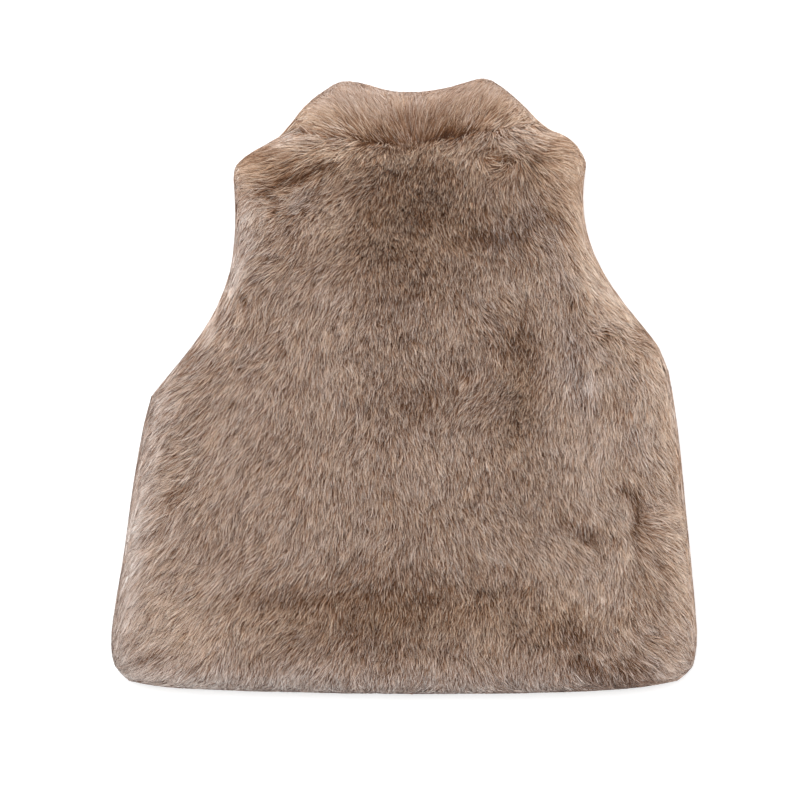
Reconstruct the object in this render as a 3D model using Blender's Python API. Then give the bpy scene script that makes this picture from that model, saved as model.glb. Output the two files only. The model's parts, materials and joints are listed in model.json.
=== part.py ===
import bpy
import bmesh
import numpy as np
from collections import namedtuple
from math import radians

# A toddler's fur gilet laid flat on its front: back panel up, collar towards +Y.
# Sizes and tables are in millimetres, and a mesh is scaled to metres when it is made.
MM = 0.001

# Depth of each layer, cloth and pile together
FRONT_DEPTH = 12.0
BACK_DEPTH = 21.0
COLLAR_DEPTH = 19.0

# The middle of the back lies a little higher than its rim
BACK_SWELL = 4.0
SWELL_REACH = 110.0

# Bare cloth at a cut edge, and the gap between sewn pieces
BACKING = 2.0
SEAM_GAP = 0.3
NECK_SEAM_SHIFT = 0.2

# Width over which the pile rounds down to an edge
BACK_ROUND = 26.0
COLLAR_ROUND = 20.0
FRONT_ROUND = 12.0

# Share of the pile that still stands at the neck seam, and the run over which it fades at the ends
NECK_LIFT = 0.82
NECK_FADE = 12.0

# The front neck hangs lower than the back neck, and the collar goes down with it
FRONT_NECK_DROP = 10.0

# Collar ends: bulge of each fold, and the share of the half width that its wall takes
LEFT_COLLAR_BULGE = 3.0
RIGHT_COLLAR_BULGE = 1.0
COLLAR_FOLD_WALL = 0.12

# Stations across the panels, rows up them, and how far they crowd towards the edges
SHOULDER_STATIONS = 7
HALF_NECK_STATIONS = 12
BODY_ROWS = 32
COLLAR_ROWS = 10
EDGE_CROWDING = 1.7

# How soon the shape of the hem and of the shoulders fades into straight rows
HEM_FADE = 3
SHOULDER_FADE = 7

# Heights are above the lowest point of the hem, reaches are from the middle of the hem
Section = namedtuple("Section", "height left right")
SIDES = (
    Section(9.0, 187.0, 186.0),
    Section(18.0, 195.8, 195.8),
    Section(26.0, 198.5, 198.0),
    Section(36.0, 199.2, 199.2),
    Section(60.0, 196.4, 197.8),
    Section(92.0, 191.0, 195.0),
    Section(132.0, 185.6, 191.0),
    Section(173.0, 178.8, 187.0),
    Section(200.0, 172.6, 183.3),
    Section(212.0, 167.0, 181.2),
    Section(220.0, 157.5, 179.8),
    Section(229.0, 149.5, 177.7),
    Section(238.0, 142.8, 172.0),
    Section(254.0, 132.0, 159.3),
    Section(271.0, 123.6, 145.3),
    Section(288.0, 118.0, 134.8),
    Section(304.0, 115.6, 127.0),
    Section(322.0, 114.8, 122.8),
    Section(340.0, 115.2, 121.8),
    Section(352.0, 116.2, 122.7),
    Section(360.0, 114.6, 124.2),
)

EdgePoint = namedtuple("EdgePoint", "across height")
HEM = (
    EdgePoint(-187.0, 9.0),
    EdgePoint(-172.0, 6.0),
    EdgePoint(-124.0, 2.7),
    EdgePoint(-60.0, 0.8),
    EdgePoint(20.0, 0.0),
    EdgePoint(80.0, 0.5),
    EdgePoint(130.0, 2.2),
    EdgePoint(164.0, 5.0),
    EdgePoint(186.0, 9.0),
)
LEFT_SHOULDER = (
    EdgePoint(-114.6, 360.0),
    EdgePoint(-109.5, 366.0),
    EdgePoint(-104.0, 370.0),
    EdgePoint(-87.0, 378.5),
    EdgePoint(-79.0, 383.0),
)
BACK_NECK = (
    EdgePoint(-79.0, 383.0),
    EdgePoint(-60.0, 379.0),
    EdgePoint(-28.0, 373.4),
    EdgePoint(-5.0, 371.8),
    EdgePoint(18.0, 373.8),
    EdgePoint(45.0, 379.0),
    EdgePoint(70.0, 382.6),
    EdgePoint(97.0, 384.0),
)
RIGHT_SHOULDER = (
    EdgePoint(97.0, 384.0),
    EdgePoint(105.0, 382.0),
    EdgePoint(113.0, 378.0),
    EdgePoint(121.0, 370.0),
    EdgePoint(124.2, 360.0),
)
COLLAR_TOP = (
    EdgePoint(-52.0, 411.5),
    EdgePoint(-46.0, 415.5),
    EdgePoint(-38.0, 416.8),
    EdgePoint(-27.0, 415.0),
    EdgePoint(-12.0, 410.6),
    EdgePoint(3.0, 409.4),
    EdgePoint(18.0, 410.2),
    EdgePoint(32.0, 412.8),
    EdgePoint(46.0, 417.2),
    EdgePoint(55.0, 418.9),
    EdgePoint(62.0, 416.4),
    EdgePoint(67.0, 412.5),
)

# Troughs where the pile parts on the back
Trough = namedtuple("Trough", "from_x from_height to_x to_height half_width depth")
TROUGHS = (
    Trough(160.0, 238.0, 174.0, 146.0, 16.0, 4.0),
    Trough(174.0, 146.0, 184.0, 90.0, 14.0, 3.0),
    Trough(78.0, 250.0, 90.0, 158.0, 18.0, 4.0),
    Trough(-90.0, 54.0, 130.0, 54.0, 20.0, 3.0),
    Trough(-105.0, 332.0, -50.0, 346.0, 13.0, 4.0),
    Trough(56.0, 366.0, 82.0, 352.0, 13.0, 3.5),
    Trough(-163.0, 118.0, -180.0, 105.0, 12.0, 3.0),
)

# The two layers meet on these planes, and the origin is under the middle of the garment
UNDER_PLANE = FRONT_DEPTH
UPPER_PLANE = FRONT_DEPTH + SEAM_GAP
HALF_LENGTH = max(point.height for point in COLLAR_TOP) / 2

# Base colours of the pile, linear
BACK_TAUPE = (0.314, 0.216, 0.162, 1.0)
FRONT_TAUPE = (0.27, 0.185, 0.138, 1.0)
COLLAR_TAUPE = (0.34, 0.238, 0.18, 1.0)
FUR_ROUGHNESS = 0.9
SHARP_EDGE = radians(55)


# Tables into curves

def smooth(table, at):
    across, height = np.array([row[:2] for row in table]).T
    tangent = np.gradient(height, across)
    at = np.clip(at, across[0], across[-1])
    cell = np.clip(np.searchsorted(across, at, side="right") - 1, 0, len(across) - 2)
    width = across[cell + 1] - across[cell]
    t = (at - across[cell]) / width
    eased = t * t * (3 - 2 * t)
    leaving = t * (1 - t) ** 2 * width * tangent[cell]
    arriving = t * t * (1 - t) * width * tangent[cell + 1]
    return height[cell] * (1 - eased) + height[cell + 1] * eased + leaving - arriving


def curve(table, across):
    return np.stack([across, smooth(table, across)], axis=-1)


def crowded_towards_start(count):
    return np.linspace(0, 1, count + 1) ** EDGE_CROWDING


def crowded_towards_ends(count):
    even = np.linspace(0, 1, count + 1)
    near = 0.5 * np.abs(2 * np.minimum(even, 1 - even)) ** EDGE_CROWDING
    return np.where(even < 0.5, near, 1 - near)


def neck_stations():
    half = crowded_towards_ends(HALF_NECK_STATIONS) / 2
    whole = np.concatenate([half, 0.5 + half[1:]])
    return BACK_NECK[0].across + whole * (BACK_NECK[-1].across - BACK_NECK[0].across)


def side_edge(rows, side, sign):
    height = SIDES[0].height + rows * (SIDES[-1].height - SIDES[0].height)
    table = [(row.height, getattr(row, side)) for row in SIDES]
    return np.stack([sign * smooth(table, height), height], axis=-1)


def neck_edge(shift, drop):
    across = neck_stations()
    middle = (across[0] + across[-1]) / 2
    from_middle = (across - middle) / (across[-1] - middle)
    edge = curve(BACK_NECK, across)
    edge[:, 1] += shift - drop * (1 - from_middle**2)
    return edge


def top_edge(drop):
    steps = crowded_towards_start(SHOULDER_STATIONS)
    left_start, left_end = LEFT_SHOULDER[0].across, LEFT_SHOULDER[-1].across
    right_start, right_end = RIGHT_SHOULDER[0].across, RIGHT_SHOULDER[-1].across
    left = curve(LEFT_SHOULDER, left_start + steps * (left_end - left_start))
    right = curve(RIGHT_SHOULDER, right_end - steps[::-1] * (right_end - right_start))
    neck = neck_edge(-NECK_SEAM_SHIFT, drop)
    return np.concatenate([left[:-1], neck, right[1:]])


# Panels filled in from their four edges

def patch(bottom, top, left, right, across, up, bottom_fade=1, top_fade=1):
    u = across[None, :, None]
    v = up[:, None, None]
    crossing = (1 - u) * left[:, None] + u * right[:, None]
    bottom_shape = bottom[None] - (1 - u) * bottom[0] - u * bottom[-1]
    top_shape = top[None] - (1 - u) * top[0] - u * top[-1]
    return crossing + (1 - v) ** bottom_fade * bottom_shape + v**top_fade * top_shape


def neck_lift(top):
    first, last = BACK_NECK[0].across, BACK_NECK[-1].across
    inside = np.minimum(top[:, 0] - first, last - top[:, 0])
    return NECK_LIFT * np.clip(inside / NECK_FADE, 0, 1)


def outline_with_lift(grid, top_lift, bottom_lift):
    bottom, top = grid[0], grid[-1]
    left, right = grid[:, 0], grid[:, -1]
    points = np.concatenate([bottom, right[1:], top[::-1][1:], left[::-1][1:]])
    bare_side = np.zeros(len(left) - 1)
    lift = np.concatenate([bottom_lift, bare_side, top_lift[::-1][1:], bare_side])
    return points, lift


def along_segments(points, start, end):
    run = end - start
    share = np.clip(((points[:, None] - start) * run).sum(-1) / (run**2).sum(-1), 0, 1)
    distance = np.linalg.norm(points[:, None] - (start + share[..., None] * run), axis=-1)
    return distance, share


# Share of the full pile at each point: none at a bare edge, all of it past the rounding
def pile_share(grid, outline, lift, rounding):
    points = grid.reshape(-1, 2)
    distance, share = along_segments(points, outline[:-1], outline[1:])
    nearest = distance.argmin(axis=1)
    each = np.arange(len(points))
    held = share[each, nearest]
    edge_lift = lift[nearest] * (1 - held) + lift[nearest + 1] * held
    inward = 1 - np.clip(distance[each, nearest] / rounding, 0, 1)
    standing = np.sqrt(1 - inward**2)
    return (edge_lift + (1 - edge_lift) * standing).reshape(grid.shape[:2])


def trough_depth(grid):
    points = grid.reshape(-1, 2)
    depth = np.zeros(len(points))
    for trough in TROUGHS:
        start = np.array([[trough.from_x, trough.from_height]])
        end = np.array([[trough.to_x, trough.to_height]])
        distance = along_segments(points, start, end)[0][:, 0]
        near = np.clip(distance / trough.half_width, 0, 1)
        depth = np.maximum(depth, trough.depth * (0.5 + 0.5 * np.cos(np.pi * near)))
    return depth.reshape(grid.shape[:2])


# Meshes

def raised(grid, height):
    height = np.broadcast_to(height, grid.shape[:2])
    return np.concatenate([grid, height[..., None]], axis=-1)


def add_grid(mesh, points):
    rows, columns = points.shape[:2]
    made = bmesh.ops.create_grid(mesh, x_segments=columns - 1, y_segments=rows - 1, size=1)["verts"]
    placed = np.empty((rows, columns), dtype=object)
    for vert in made:
        column = round((vert.co.x + 1) / 2 * (columns - 1))
        row = round((vert.co.y + 1) / 2 * (rows - 1))
        x, height, z = points[row, column]
        placed[row, column] = vert
        vert.co = (x * MM, (height - HALF_LENGTH) * MM, z * MM)
    return placed


def rim_of(placed):
    rim = list(placed[0]) + list(placed[1:, -1])
    return rim + list(placed[-1, -2::-1]) + list(placed[-2:0:-1, 0])


def material(name, colour):
    fur = bpy.data.materials.new(name)
    fur.use_nodes = True
    shader = fur.node_tree.nodes["Principled BSDF"]
    shader.inputs["Base Color"].default_value = colour
    shader.inputs["Roughness"].default_value = FUR_ROUGHNESS
    shader.inputs["Metallic"].default_value = 0.0
    return fur


def finish(name, mesh, colour, collection, origin):
    bmesh.ops.recalc_face_normals(mesh, faces=mesh.faces)
    data = bpy.data.meshes.new(name)
    mesh.to_mesh(data)
    mesh.free()
    data.shade_smooth()
    data.set_sharp_from_angle(angle=SHARP_EDGE)
    data.materials.append(material(name + "_fur", colour))
    piece = bpy.data.objects.new(name, data)
    piece.parent = origin
    collection.objects.link(piece)


# A panel has its pile on one side and a flat face on the plane where the layers meet
def add_panel(name, pile, plane, colour, collection, origin):
    mesh = bmesh.new()
    add_grid(mesh, pile)
    rim = [edge for edge in mesh.edges if edge.is_boundary]
    walls = bmesh.ops.extrude_edge_only(mesh, edges=rim)["geom"]
    for vert in (item for item in walls if isinstance(item, bmesh.types.BMVert)):
        vert.co.z = plane * MM
    bmesh.ops.holes_fill(mesh, edges=[edge for edge in mesh.edges if edge.is_boundary], sides=0)
    finish(name, mesh, colour, collection, origin)


# A band is two sheets of the same stations, closed round their rims.
# The closing faces hang from the higher station, which keeps the fold clear of the panel beside it.
def add_band(name, outside, inside, colour, collection, origin):
    mesh = bmesh.new()
    outer = rim_of(add_grid(mesh, outside))
    inner = rim_of(add_grid(mesh, inside))
    for here in range(len(outer)):
        there = (here + 1) % len(outer)
        low, high = sorted((here, there), key=lambda station: outer[station].co.z)
        mesh.faces.new((outer[low], outer[high], inner[high]))
        mesh.faces.new((outer[low], inner[high], inner[low]))
    finish(name, mesh, colour, collection, origin)


# Sub-parts

def body_edges(drop):
    rows = crowded_towards_ends(BODY_ROWS)
    top = top_edge(drop)
    across = (top[:, 0] - top[0, 0]) / (top[-1, 0] - top[0, 0])
    hem_run = HEM[-1].across - HEM[0].across
    hem = curve(HEM, HEM[0].across + across * hem_run)
    return rows, across, hem, top


def add_back(collection, origin):
    rows, across, hem, top = body_edges(0.0)
    left, right = side_edge(rows, "left", -1), side_edge(rows, "right", 1)
    grid = patch(hem, top, left, right, across, rows, HEM_FADE, SHOULDER_FADE)
    outline, lift = outline_with_lift(grid, neck_lift(top), np.zeros(len(hem)))
    share = pile_share(grid, outline, lift, BACK_ROUND)
    swell = BACK_SWELL * pile_share(grid, outline, np.zeros(len(lift)), SWELL_REACH)
    pile = (BACK_DEPTH - BACKING) * share + swell - trough_depth(grid) * share
    add_panel("back", raised(grid, UPPER_PLANE + BACKING + pile), UPPER_PLANE, BACK_TAUPE,
              collection, origin)


def add_front(name, half, side, sign, collection, origin):
    rows, across, hem, top = body_edges(FRONT_NECK_DROP)
    hem, top, across = hem[half].copy(), top[half].copy(), across[half]
    across = (across - across[0]) / (across[-1] - across[0])
    middle = -1 if sign < 0 else 0
    for edge in (hem, top):
        edge[middle, 0] += sign * SEAM_GAP / 2
    opening = hem[middle] + rows[:, None] * (top[middle] - hem[middle])
    outer_side = side_edge(rows, side, sign)
    left, right = (outer_side, opening) if sign < 0 else (opening, outer_side)
    grid = patch(hem, top, left, right, across, rows, HEM_FADE, SHOULDER_FADE)
    outline, lift = outline_with_lift(grid, neck_lift(top), np.zeros(len(hem)))
    share = pile_share(grid, outline, lift, FRONT_ROUND)
    pile = (FRONT_DEPTH - BACKING) * share
    add_panel(name, raised(grid, UNDER_PLANE - BACKING - pile), UNDER_PLANE, FRONT_TAUPE,
              collection, origin)


def collar_end(start, end, rows, bulge, sign):
    straight = start + rows[:, None] * (end - start)
    run = (end - start) / np.linalg.norm(end - start)
    outward = sign * np.array([run[1], -run[0]])
    return straight + 4 * bulge * (rows * (1 - rows))[:, None] * outward


def collar_layer(drop):
    rows = crowded_towards_ends(COLLAR_ROWS)
    seam = neck_edge(NECK_SEAM_SHIFT, drop)
    raised_seam = neck_edge(NECK_SEAM_SHIFT, 0.0)
    across = (seam[:, 0] - seam[0, 0]) / (seam[-1, 0] - seam[0, 0])
    run = COLLAR_TOP[-1].across - COLLAR_TOP[0].across
    top = curve(COLLAR_TOP, COLLAR_TOP[0].across + across * run)
    top[:, 1] += seam[:, 1] - raised_seam[:, 1]
    left = collar_end(seam[0], top[0], rows, LEFT_COLLAR_BULGE, -1)
    right = collar_end(seam[-1], top[-1], rows, RIGHT_COLLAR_BULGE, 1)
    return patch(seam, top, left, right, across, rows)


# The cloth inside the fold stops short of the collar's ends
def inside_fold(grid):
    middle = grid[:, HALF_NECK_STATIONS, 0][:, None]
    out = grid[..., 0] - middle
    half = np.where(out < 0, middle - grid[:, :1, 0], grid[:, -1:, 0] - middle)
    across = middle + out * (1 - COLLAR_FOLD_WALL * np.abs(out) / half)
    height = np.array([np.interp(x, row[:, 0], row[:, 1]) for x, row in zip(across, grid)])
    return np.stack([across, height], axis=-1)


def collar_pile(grid, depth, rounding):
    outline, lift = outline_with_lift(grid, np.zeros(grid.shape[1]), neck_lift(grid[0]))
    return (depth - BACKING) * pile_share(grid, outline, lift, rounding)


def add_collar(collection, origin):
    upper = collar_layer(0.0)
    under = collar_layer(FRONT_NECK_DROP)
    upper_inside = raised(inside_fold(upper), UPPER_PLANE)
    upper_pile = collar_pile(upper, COLLAR_DEPTH, COLLAR_ROUND)
    upper_outside = raised(upper, UPPER_PLANE + BACKING + upper_pile)
    middle = HALF_NECK_STATIONS
    folded = {}
    for sign, half in ((-1, slice(middle + 1)), (1, slice(middle, None))):
        front = under[:, half].copy()
        inside = inside_fold(under)[:, half].copy()
        opening = -1 if sign < 0 else 0
        front[:, opening, 0] += sign * SEAM_GAP / 2
        inside[:, opening, 0] += sign * SEAM_GAP / 2
        pile = collar_pile(front, FRONT_DEPTH, FRONT_ROUND)
        outside = raised(front, UNDER_PLANE - BACKING - pile)
        folded[sign] = outside[:, ::-1], raised(inside, UNDER_PLANE)[:, ::-1]
    outside = np.concatenate([folded[-1][0], upper_outside, folded[1][0]], axis=1)
    inside = np.concatenate([folded[-1][1], upper_inside, folded[1][1]], axis=1)
    add_band("collar", outside, inside, COLLAR_TAUPE, collection, origin)


def main():
    for old in list(bpy.data.objects):
        bpy.data.objects.remove(old, do_unlink=True)
    collection = bpy.data.collections.new("fur_gilet")
    bpy.context.scene.collection.children.link(collection)
    origin = bpy.data.objects.new("gilet_origin", None)
    collection.objects.link(origin)
    middle = SHOULDER_STATIONS + HALF_NECK_STATIONS
    add_front("front_left", slice(middle + 1), "left", -1, collection, origin)
    add_front("front_right", slice(middle, None), "right", 1, collection, origin)
    add_back(collection, origin)
    add_collar(collection, origin)


main()
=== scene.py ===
import json
from math import cos, pi, radians, sin

import bmesh
import bpy
import numpy as np
from mathutils.kdtree import KDTree
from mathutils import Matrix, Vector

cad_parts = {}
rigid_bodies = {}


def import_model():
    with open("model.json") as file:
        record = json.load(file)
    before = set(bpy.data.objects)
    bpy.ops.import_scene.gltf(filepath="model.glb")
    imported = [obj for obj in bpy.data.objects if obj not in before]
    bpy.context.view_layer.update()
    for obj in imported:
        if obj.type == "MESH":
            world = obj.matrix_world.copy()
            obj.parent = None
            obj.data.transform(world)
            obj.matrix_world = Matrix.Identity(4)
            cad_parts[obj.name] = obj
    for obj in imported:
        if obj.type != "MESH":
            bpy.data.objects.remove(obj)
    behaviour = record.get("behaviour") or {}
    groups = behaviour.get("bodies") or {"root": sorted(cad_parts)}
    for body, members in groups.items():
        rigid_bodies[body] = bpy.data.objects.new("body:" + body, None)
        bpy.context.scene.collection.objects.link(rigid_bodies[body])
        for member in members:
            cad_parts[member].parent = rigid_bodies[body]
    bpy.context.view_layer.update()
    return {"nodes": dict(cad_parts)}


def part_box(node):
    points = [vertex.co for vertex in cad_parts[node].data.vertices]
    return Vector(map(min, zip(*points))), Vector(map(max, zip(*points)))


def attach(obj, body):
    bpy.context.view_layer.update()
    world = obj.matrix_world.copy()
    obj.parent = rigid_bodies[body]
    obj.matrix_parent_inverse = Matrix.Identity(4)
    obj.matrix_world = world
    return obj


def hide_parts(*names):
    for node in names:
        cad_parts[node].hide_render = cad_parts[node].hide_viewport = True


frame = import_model()
print("frame loaded:", ", ".join(sorted(frame["nodes"])))

# The photo looks straight down on the back, so its pixels are places on the floor
photo = {"pixels": 800, "metresPerPixel": 0.00068, "garmentMiddle": (404, 386)}


def fromPhoto(x, y):
    middleX, middleY = photo["garmentMiddle"]
    scale = photo["metresPerPixel"]
    return (np.asarray(x) - middleX) * scale, (middleY - np.asarray(y)) * scale


def srgb(red, green, blue):
    share = np.array([red, green, blue]) / 255
    linear = np.where(share <= 0.04045, share / 12.92, ((share + 0.055) / 1.055) ** 2.4)
    return (*linear, 1.0)


skinFinish = {
    "cuts": 1, "rootCuts": 3, "evening": 3, "smoothing": 3, "smoothShare": 0.4, "thickness": 0.0012,
    "unevenness": 0.0007, "wavesAcross": 210, "wavesDown": 170, "waveStart": (1.3, 0.4),
    "seamReach": 0.012, "sideShare": 0.6, "layerBlend": 0.003,
}
edgePile = {"reach": 0.015, "fade": 0.0035, "blend": 0.03, "silk": 0.6, "grey": 0.25}   # along the outline; its grey is painted shade, a greyer hue where the pile turns down the sides
pitSize = {"tone": -0.27, "reach": 10, "edge": 0.2}   # small patches of painted shade, where the upper strands part and are left out
seamPile = {"reach": 0.009, "shallow": 0.45, "tone": 0.08}   # along the neck seam, where the skin lies shallower and a painted light lifts the tone of its valley
seamFind = {"joined": 0.0012, "open": 0.0005, "layersApart": 0.2}   # which points of a rim lie on a seam
combBlend = 0.019   # distance over which one comb stroke gives way to the next
pileSize = {
    "uprightReach": 0.0018, "flatReach": 0.0135, "silkReach": 0.6, "uprightRise": 1.12, "flatRise": 0.92,
    "meanLength": 0.97, "lengthScatter": 0.15, "topRoom": 0.006, "creaseRise": 0.9, "creaseTone": 1.6,
    "creaseLimit": 0.5, "leastFlat": 0.05, "tornWidth": 0.0013, "pressDepth": 0.0007,
}
outlineTrim = {"reach": 0.014, "cuts": 3, "skinInset": 0.004}
outlineTrim["lines"] = [   # photo points, clockwise, where the pile rounds the solids off
    [(234.6, 186), (233.4, 180), (233.6, 174), (235, 168.5), (238, 164), (241.7, 160.6), (247, 156.5),
     (255, 151.5), (264, 146.8), (271.7, 142.2), (280, 137), (285, 133.4), (288.5, 129.5), (291.5, 124.5),
     (295, 119)],
    [(456.7, 84.2), (465, 81.6), (473.3, 79.5), (478, 78.8), (482, 78.6), (486.4, 79.2), (491, 80.8),
     (495.4, 83), (500, 86), (505.6, 90), (511.4, 94.8), (524.4, 106.7), (533.6, 116.6), (539.6, 124),
     (544, 128.8), (549, 131), (560, 133.6), (568.3, 138.3), (576.7, 146.7), (583.3, 156.7),
     (586.3, 163.3), (586.3, 168)],
]
ruffle = {   # broad unevenness of the pile
    "turn": 8.0, "flat": 0.08, "tone": 0.04, "wave": 0.02, "stretch": (1.2, 4.0), "waves": 24,
    "spread": 3.46, "seed": 5,   # so many waves added up have this spread
}
layerLine = {"shade": 0.28, "reach": 0.0018}   # shade along the slit where the back lies on the fronts
locks = {   # pile that lies together in locks
    "perMetre": 140.0, "turn": 1.4, "tone": 0.55, "rise": 0.8, "tan": 0.7, "ownTan": 0.1,
}
sameVert = 0.00001   # points nearer than this are one
tiny = 1e-6


# Skins: the dense underfur, a shell inside each solid

slitRoom = 0.0001   # how far the slit between the layers is taken past its two faces
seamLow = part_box("front_left")[1].z - slitRoom
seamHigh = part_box("back")[0].z + slitRoom


def outerSurface(node):
    mesh = bmesh.new()
    mesh.from_mesh(frame["nodes"][node].data)
    bmesh.ops.remove_doubles(mesh, verts=mesh.verts, dist=sameVert)
    inSlit = [vert for vert in mesh.verts if seamLow < vert.co.z < seamHigh]
    bmesh.ops.delete(mesh, geom=inSlit, context="VERTS")
    return mesh


def rimPoints(mesh):
    return np.array([vert.co for vert in mesh.verts if vert.is_boundary])


def nearest(points, others):
    flat = (0,) * (3 - points.shape[1])
    tree = KDTree(len(others))
    for index, other in enumerate(others):
        tree.insert((*other, *flat), index)
    tree.balance()
    return np.array([tree.find((*point, *flat))[2] for point in points])


surfaces = {node: outerSurface(node) for node in frame["nodes"]}
rims = {node: rimPoints(mesh) for node, mesh in surfaces.items()}
layerGap = seamHigh - seamLow
layerLevel = (seamLow + seamHigh) / 2


# For each place, its gap to a line of photo points, the nearest point, and how far it lies left of the line
def nearLine(x, y, places):
    lineX, lineY = fromPhoto(*np.array(places, float).T)
    found = np.full((4, len(x)), np.inf)
    for startX, startY, endX, endY in zip(lineX, lineY, lineX[1:], lineY[1:]):
        wayX, wayY = endX - startX, endY - startY
        share = np.clip(((x - startX) * wayX + (y - startY) * wayY) / (wayX**2 + wayY**2), 0, 1)
        nearX, nearY = startX + share * wayX, startY + share * wayY
        left = wayX * (y - startY) - wayY * (x - startX)
        here = np.stack([np.hypot(x - nearX, y - nearY), nearX, nearY, left])
        found = np.where(here[0] < found[0], here, found)
    return found


def refineNear(mesh, line):
    places = np.array([vert.co for vert in mesh.verts])
    gaps = nearLine(places[:, 0], places[:, 1], line)[0]
    near = {vert for vert, gap in zip(mesh.verts, gaps) if gap < outlineTrim["reach"]}
    edges = [edge for edge in mesh.edges if near.issuperset(edge.verts)]
    bmesh.ops.subdivide_edges(mesh, edges=edges, cuts=outlineTrim["cuts"], use_grid_fill=True)


# What lies outside a line, or less than the inset inside it, is moved in
def trimToLine(mesh, line, inset):
    places = np.array([vert.co for vert in mesh.verts])
    ends = np.array([fromPhoto(*line[0]), fromPhoto(*line[-1])])
    for vert, (gap, nearX, nearY, left) in zip(mesh.verts, nearLine(places[:, 0], places[:, 1], line).T):
        inside = -gap if left > 0 else gap
        past = np.abs(ends - (nearX, nearY)).sum(axis=1).min() < tiny
        if inside < inset and tiny < gap < outlineTrim["reach"] and not past:
            vert.co.x = nearX + (vert.co.x - nearX) / inside * inset
            vert.co.y = nearY + (vert.co.y - nearY) / inside * inset


# The outside of the whole garment, closed between its layers
def wholeForm():
    mesh = bmesh.new()
    for node in frame["nodes"].values():
        mesh.from_mesh(node.data)
    bmesh.ops.remove_doubles(mesh, verts=mesh.verts, dist=sameVert)
    inSlit = {vert for vert in mesh.verts if seamLow < vert.co.z < seamHigh}
    slitFaces = [face for face in mesh.faces if inSlit.issuperset(face.verts)]
    bmesh.ops.delete(mesh, geom=slitFaces, context="FACES")
    bmesh.ops.remove_doubles(mesh, verts=mesh.verts, dist=layerGap)
    for line in outlineTrim["lines"]:
        refineNear(mesh, line)
        trimToLine(mesh, line, 0.0)
    data = bpy.data.meshes.new("wholeForm")
    mesh.to_mesh(data)
    mesh.free()
    data.shade_smooth()
    return bpy.data.objects.new("wholeForm", data)


form = wholeForm()
print("form closed and trimmed")


def seamPoints(node):
    rim = rims[node]
    others = np.concatenate([other for name, other in rims.items() if name != node])
    # the upper layer is lifted away, so that a seam joins points of one layer only
    here, there = [np.column_stack([points[:, :2], (points[:, 2] > seamHigh) * seamFind["layersApart"]])
                   for points in (rim, others)]
    return rim[nearest(here, there) < seamFind["joined"]]


def openRim(node):
    seam = seamPoints(node)
    rim = rims[node]
    return rim[nearest(rim, seam) > seamFind["open"]] if len(seam) else rim


# How near a place on the back or collar is to the neck seam, from nought to one
def neckShare(node, points):
    seam = seamPoints(node)
    seam = seam[seam[:, 2] > seamHigh] if node in ("back", "collar") else seam[:0]
    if not len(seam):
        return np.zeros(len(points))
    return np.exp(-(nearest(points, seam) / seamPile["reach"]) ** 2)


# Normals averaged with their neighbours, so that the corners of a panel don't stick out
def evened(normals, mesh):
    mesh.verts.index_update()
    ends = np.array([[vert.index for vert in edge.verts] for edge in mesh.edges])
    for _ in range(skinFinish["evening"]):
        total = normals.copy()
        np.add.at(total, ends[:, 0], normals[ends[:, 1]])
        np.add.at(total, ends[:, 1], normals[ends[:, 0]])
        normals = total / np.maximum(np.linalg.norm(total, axis=1, keepdims=True), tiny)
    return normals


def makeSkin(name, node, piece, cuts):
    mesh = surfaces[node].copy()
    bmesh.ops.subdivide_edges(mesh, edges=mesh.edges, cuts=cuts, use_grid_fill=True)
    mesh.normal_update()
    points = np.array([vert.co for vert in mesh.verts])
    normals = evened(np.array([vert.normal for vert in mesh.verts]), mesh)
    above = np.clip((points[:, 2] - layerLevel) / skinFinish["layerBlend"] + 0.5, 0, 1)
    depth = piece["depthBelow"] + (piece["depthAbove"] - piece["depthBelow"]) * above
    depth *= 1 - seamPile["shallow"] * neckShare(node, points)
    startAcross, startDown = skinFinish["waveStart"]
    wave = np.sin(points[:, 0] * skinFinish["wavesAcross"] + startAcross)
    wave *= np.sin(points[:, 1] * skinFinish["wavesDown"] + startDown)
    inward = -normals * (depth + skinFinish["unevenness"] * wave)[:, None]
    inward[:, :2] *= skinFinish["sideShare"]
    # a skin keeps its full width at a seam
    seam = seamPoints(node)
    if len(seam):
        fromSeam = np.clip(nearest(points[:, :2], seam[:, :2]) / skinFinish["seamReach"], 0, 1)
        inward[:, :2] *= fromSeam[:, None]
    for vert, move in zip(mesh.verts, inward):
        vert.co += type(vert.co)(move)
    inner = [vert for vert in mesh.verts if not vert.is_boundary]
    for _ in range(skinFinish["smoothing"]):
        bmesh.ops.smooth_vert(mesh, verts=inner, factor=skinFinish["smoothShare"],
                              use_axis_x=True, use_axis_y=True, use_axis_z=True)
    for line in outlineTrim["lines"]:
        trimToLine(mesh, line, outlineTrim["skinInset"])
    bmesh.ops.recalc_face_normals(mesh, faces=mesh.faces)
    data = bpy.data.meshes.new(name)
    mesh.to_mesh(data)
    mesh.free()
    data.shade_smooth()
    skin = bpy.data.objects.new(name, data)
    bpy.context.scene.collection.objects.link(skin)
    return skin, points, normals, depth


# Fields over a skin

def combField(x, y, strokes):
    strokeX, strokeY, angle, flat = np.array(strokes, float).T
    placeX, placeY = fromPhoto(strokeX, strokeY)
    square = (x[:, None] - placeX) ** 2 + (y[:, None] - placeY) ** 2
    weight = 1 / (square + combBlend**2) ** 2
    weight /= weight.sum(axis=1, keepdims=True)
    along = np.stack([weight @ np.cos(np.radians(angle)), weight @ np.sin(np.radians(angle))], axis=-1)
    return along, weight @ flat


def patchField(x, y, patches):
    total = np.zeros(len(x))
    for patchX, patchY, acrossReach, downReach, shift in patches:
        placeX, placeY = fromPhoto(patchX, patchY)
        scale = photo["metresPerPixel"]
        square = ((x - placeX) / (acrossReach * scale)) ** 2 + ((y - placeY) / (downReach * scale)) ** 2
        total += shift * np.exp(-square)
    return total


def creaseField(x, y, creases):
    total = np.zeros(len(x))
    for places, halfWidth, shift in creases:
        gap = nearLine(x, y, places)[0]
        total += shift * np.exp(-(gap / (halfWidth * photo["metresPerPixel"])) ** 2)
    return total


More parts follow.
